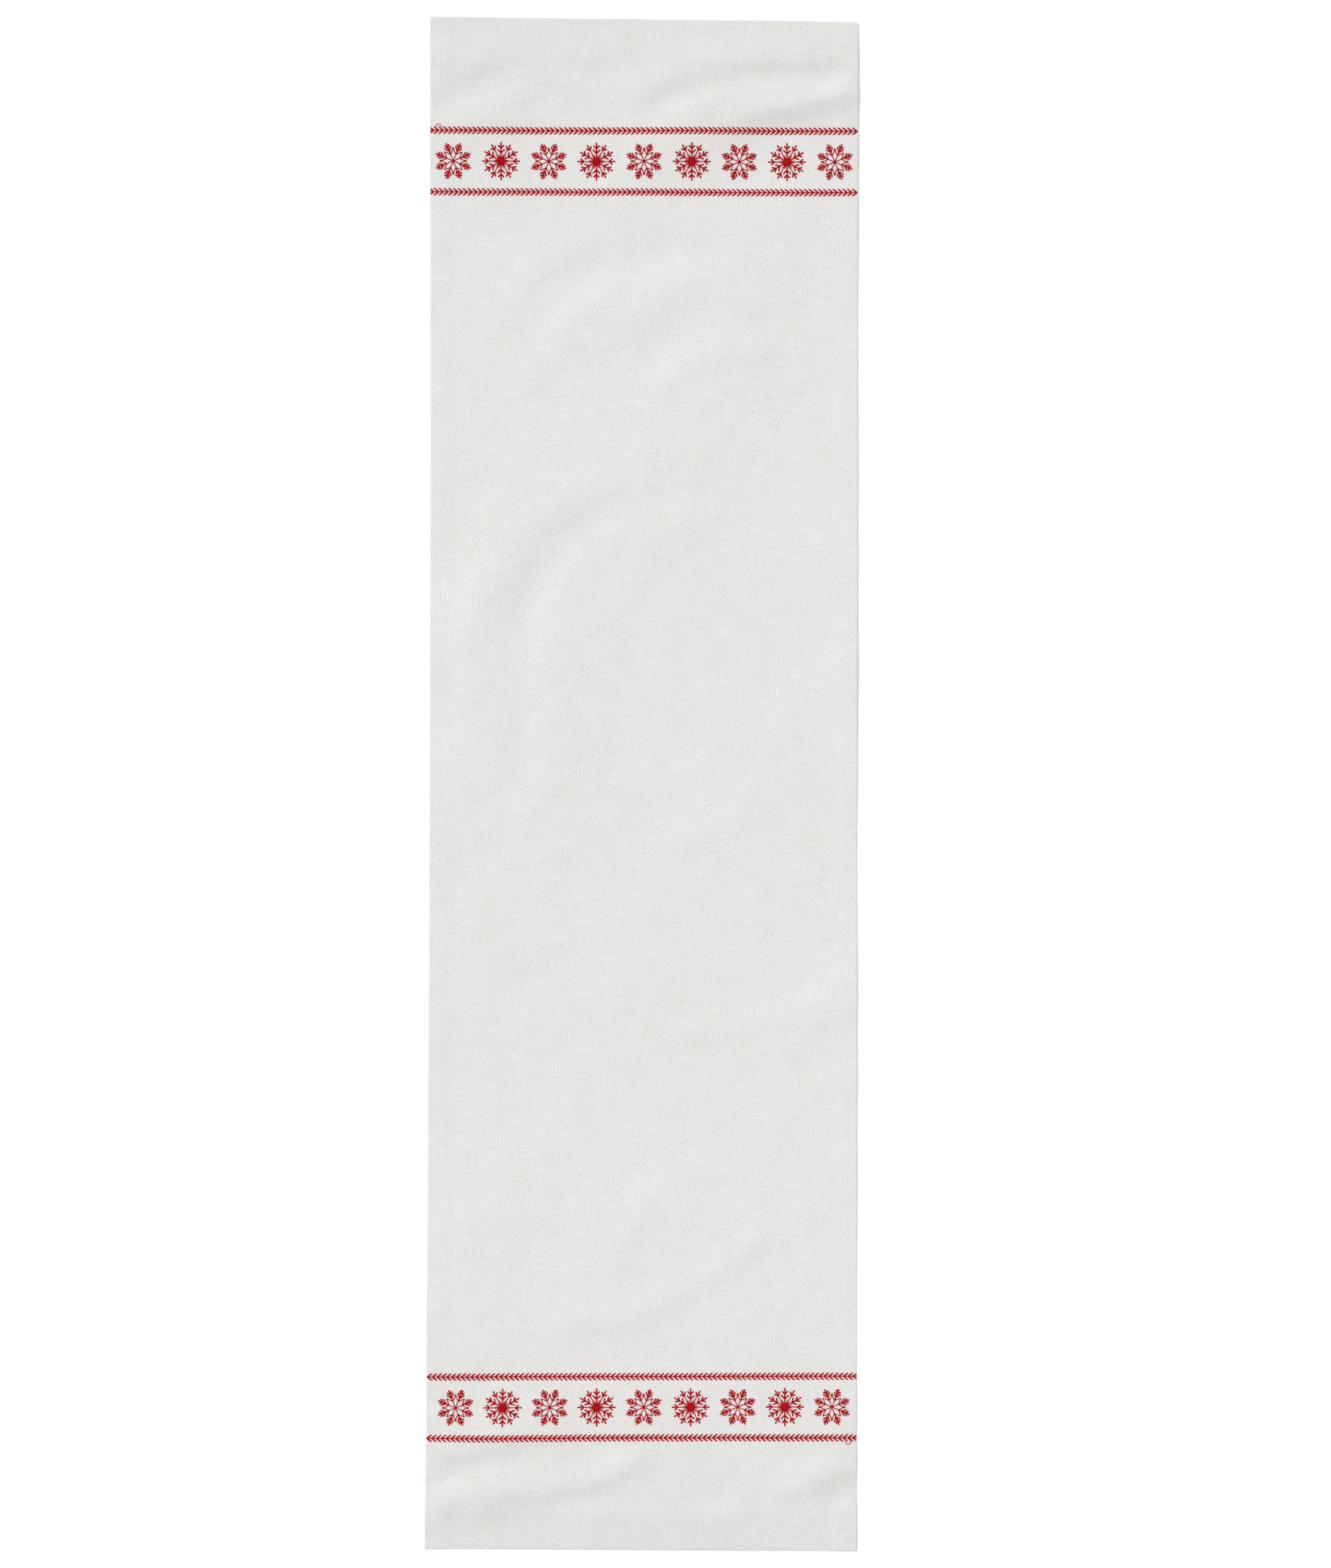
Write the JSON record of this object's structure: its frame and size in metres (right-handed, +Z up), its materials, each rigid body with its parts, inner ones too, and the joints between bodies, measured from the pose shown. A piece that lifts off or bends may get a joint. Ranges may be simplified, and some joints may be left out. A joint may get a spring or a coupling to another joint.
{
  "type": "table runner",
  "caption": "Flat woven cotton table runner, hemmed on all four sides, with a row of embroidered snowflakes between two arrowhead borders across each end.",
  "frame": {"origin": "middle of the underside, on the table top", "axes": "X across the runner, +Y along it towards the end whose arrowheads point to +X, +Z up through the face"},
  "size_m": [0.45, 1.6, 0.0016],
  "materials": {
    "cotton_cloth": "plain-woven natural white cotton with slubs and a few dark seed flecks, matt",
    "sewing_thread": "white spun sewing thread, low sheen",
    "embroidery_thread": "dark red twisted embroidery thread, soft sheen"
  },
  "bodies": {
    "root": {"face_cloth": "cotton_cloth", "far_crystal_snowflake_2": "embroidery_thread", "far_crystal_snowflake_2_bobbin": "embroidery_thread", "far_crystal_snowflake_4": "embroidery_thread", "far_crystal_snowflake_4_bobbin": "embroidery_thread", "far_crystal_snowflake_6": "embroidery_thread", "far_crystal_snowflake_6_bobbin": "embroidery_thread", "far_crystal_snowflake_8": "embroidery_thread", "far_crystal_snowflake_8_bobbin": "embroidery_thread", "far_end_hem": "cotton_cloth", "far_end_hem_bobbin_thread": "sewing_thread", "far_end_hem_needle_thread": "sewing_thread", "far_inner_border": "embroidery_thread", "far_inner_border_bobbin": "embroidery_thread", "far_outer_border": "embroidery_thread", "far_outer_border_bobbin": "embroidery_thread", "far_star_snowflake_1": "embroidery_thread", "far_star_snowflake_1_bobbin": "embroidery_thread", "far_star_snowflake_3": "embroidery_thread", "far_star_snowflake_3_bobbin": "embroidery_thread", "far_star_snowflake_5": "embroidery_thread", "far_star_snowflake_5_bobbin": "embroidery_thread", "far_star_snowflake_7": "embroidery_thread", "far_star_snowflake_7_bobbin": "embroidery_thread", "far_star_snowflake_9": "embroidery_thread", "far_star_snowflake_9_bobbin": "embroidery_thread", "left_side_hem": "cotton_cloth", "left_side_hem_bobbin_thread": "sewing_thread", "left_side_hem_needle_thread": "sewing_thread", "near_crystal_snowflake_2": "embroidery_thread", "near_crystal_snowflake_2_bobbin": "embroidery_thread", "near_crystal_snowflake_4": "embroidery_thread", "near_crystal_snowflake_4_bobbin": "embroidery_thread", "near_crystal_snowflake_6": "embroidery_thread", "near_crystal_snowflake_6_bobbin": "embroidery_thread", "near_crystal_snowflake_8": "embroidery_thread", "near_crystal_snowflake_8_bobbin": "embroidery_thread", "near_end_hem": "cotton_cloth", "near_end_hem_bobbin_thread": "sewing_thread", "near_end_hem_needle_thread": "sewing_thread", "near_inner_border": "embroidery_thread", "near_inner_border_bobbin": "embroidery_thread", "near_outer_border": "embroidery_thread", "near_outer_border_bobbin": "embroidery_thread", "near_star_snowflake_1": "embroidery_thread", "near_star_snowflake_1_bobbin": "embroidery_thread", "near_star_snowflake_3": "embroidery_thread", "near_star_snowflake_3_bobbin": "embroidery_thread", "near_star_snowflake_5": "embroidery_thread", "near_star_snowflake_5_bobbin": "embroidery_thread", "near_star_snowflake_7": "embroidery_thread", "near_star_snowflake_7_bobbin": "embroidery_thread", "near_star_snowflake_9": "embroidery_thread", "near_star_snowflake_9_bobbin": "embroidery_thread", "right_side_hem": "cotton_cloth", "right_side_hem_bobbin_thread": "sewing_thread", "right_side_hem_needle_thread": "sewing_thread"}
  },
  "joints": []
}
